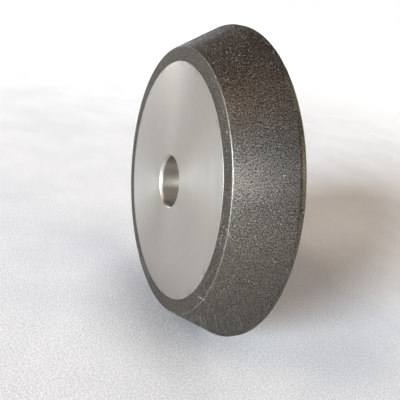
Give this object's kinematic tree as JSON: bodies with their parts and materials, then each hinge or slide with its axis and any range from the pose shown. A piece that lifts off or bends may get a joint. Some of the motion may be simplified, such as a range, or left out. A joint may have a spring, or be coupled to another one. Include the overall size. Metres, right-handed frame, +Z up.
{
  "type": "diamond grinding wheel",
  "caption": "Straight grinding wheel with one bevelled rim, a plain through bore, flat clamping faces and a single layer of nickel-plated diamond grit.",
  "frame": {"origin": "wheel centre, on the bore axis midway between the two clamping faces", "axes": "+Y along the bore axis, out of the back face at the largest diameter; the small, plated front end faces -Y; +Z up"},
  "size_m": [0.125, 0.02, 0.125],
  "materials": {
    "turned_steel": "fine turned",
    "nickel_plating": "matt electroplated nickel",
    "diamond_grit": "single layer of sharp grains"
  },
  "bodies": {
    "root": {"steel_core": "turned_steel", "nickel_bond": "nickel_plating", "diamond_grit_front_band": "diamond_grit", "diamond_grit_nose": "diamond_grit", "diamond_grit_bevel": "diamond_grit", "diamond_grit_land": "diamond_grit"}
  },
  "joints": []
}
